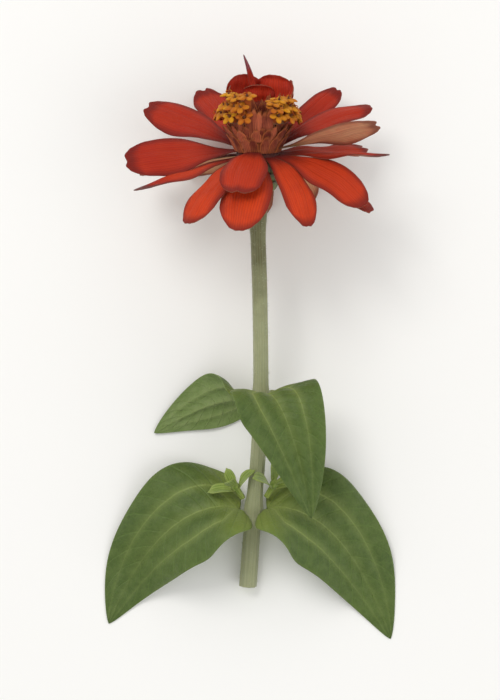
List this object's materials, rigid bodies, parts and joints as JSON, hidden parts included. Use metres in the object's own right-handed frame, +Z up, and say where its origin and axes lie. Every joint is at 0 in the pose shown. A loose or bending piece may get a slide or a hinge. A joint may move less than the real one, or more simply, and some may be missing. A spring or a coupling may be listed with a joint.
{
  "type": "zinnia flower",
  "caption": "Picked zinnia lying on its side: an orange-red bloom with a raised yellow-flecked cone, on a slender stem with opposite oval leaves and young side shoots.",
  "frame": {"origin": "on the surface that the flower lies on, under the middle of its box", "axes": "+Z up from the surface, +Y along the flower from the cut end of the stem towards the bloom, +X to the right when the bloom is at the top"},
  "size_m": [0.0762, 0.1514, 0.0495],
  "materials": {
    "petal_red": "satin",
    "chaff_maroon": "matte",
    "disc_yellow": "matte",
    "bract_green": "matte",
    "stem_green": "satin",
    "leaf_green": "satin",
    "shoot_green": "satin"
  },
  "bodies": {
    "root": {"ray_florets": "petal_red", "chaffy_bracts": "chaff_maroon", "disc_florets": "disc_yellow", "involucre": "bract_green", "stem": "stem_green", "leaf_lower_right": "leaf_green", "leaf_lower_left": "leaf_green", "leaf_upper_front": "leaf_green", "leaf_upper_rear": "leaf_green", "side_shoot_right": "shoot_green", "side_shoot_left": "shoot_green"}
  },
  "joints": []
}
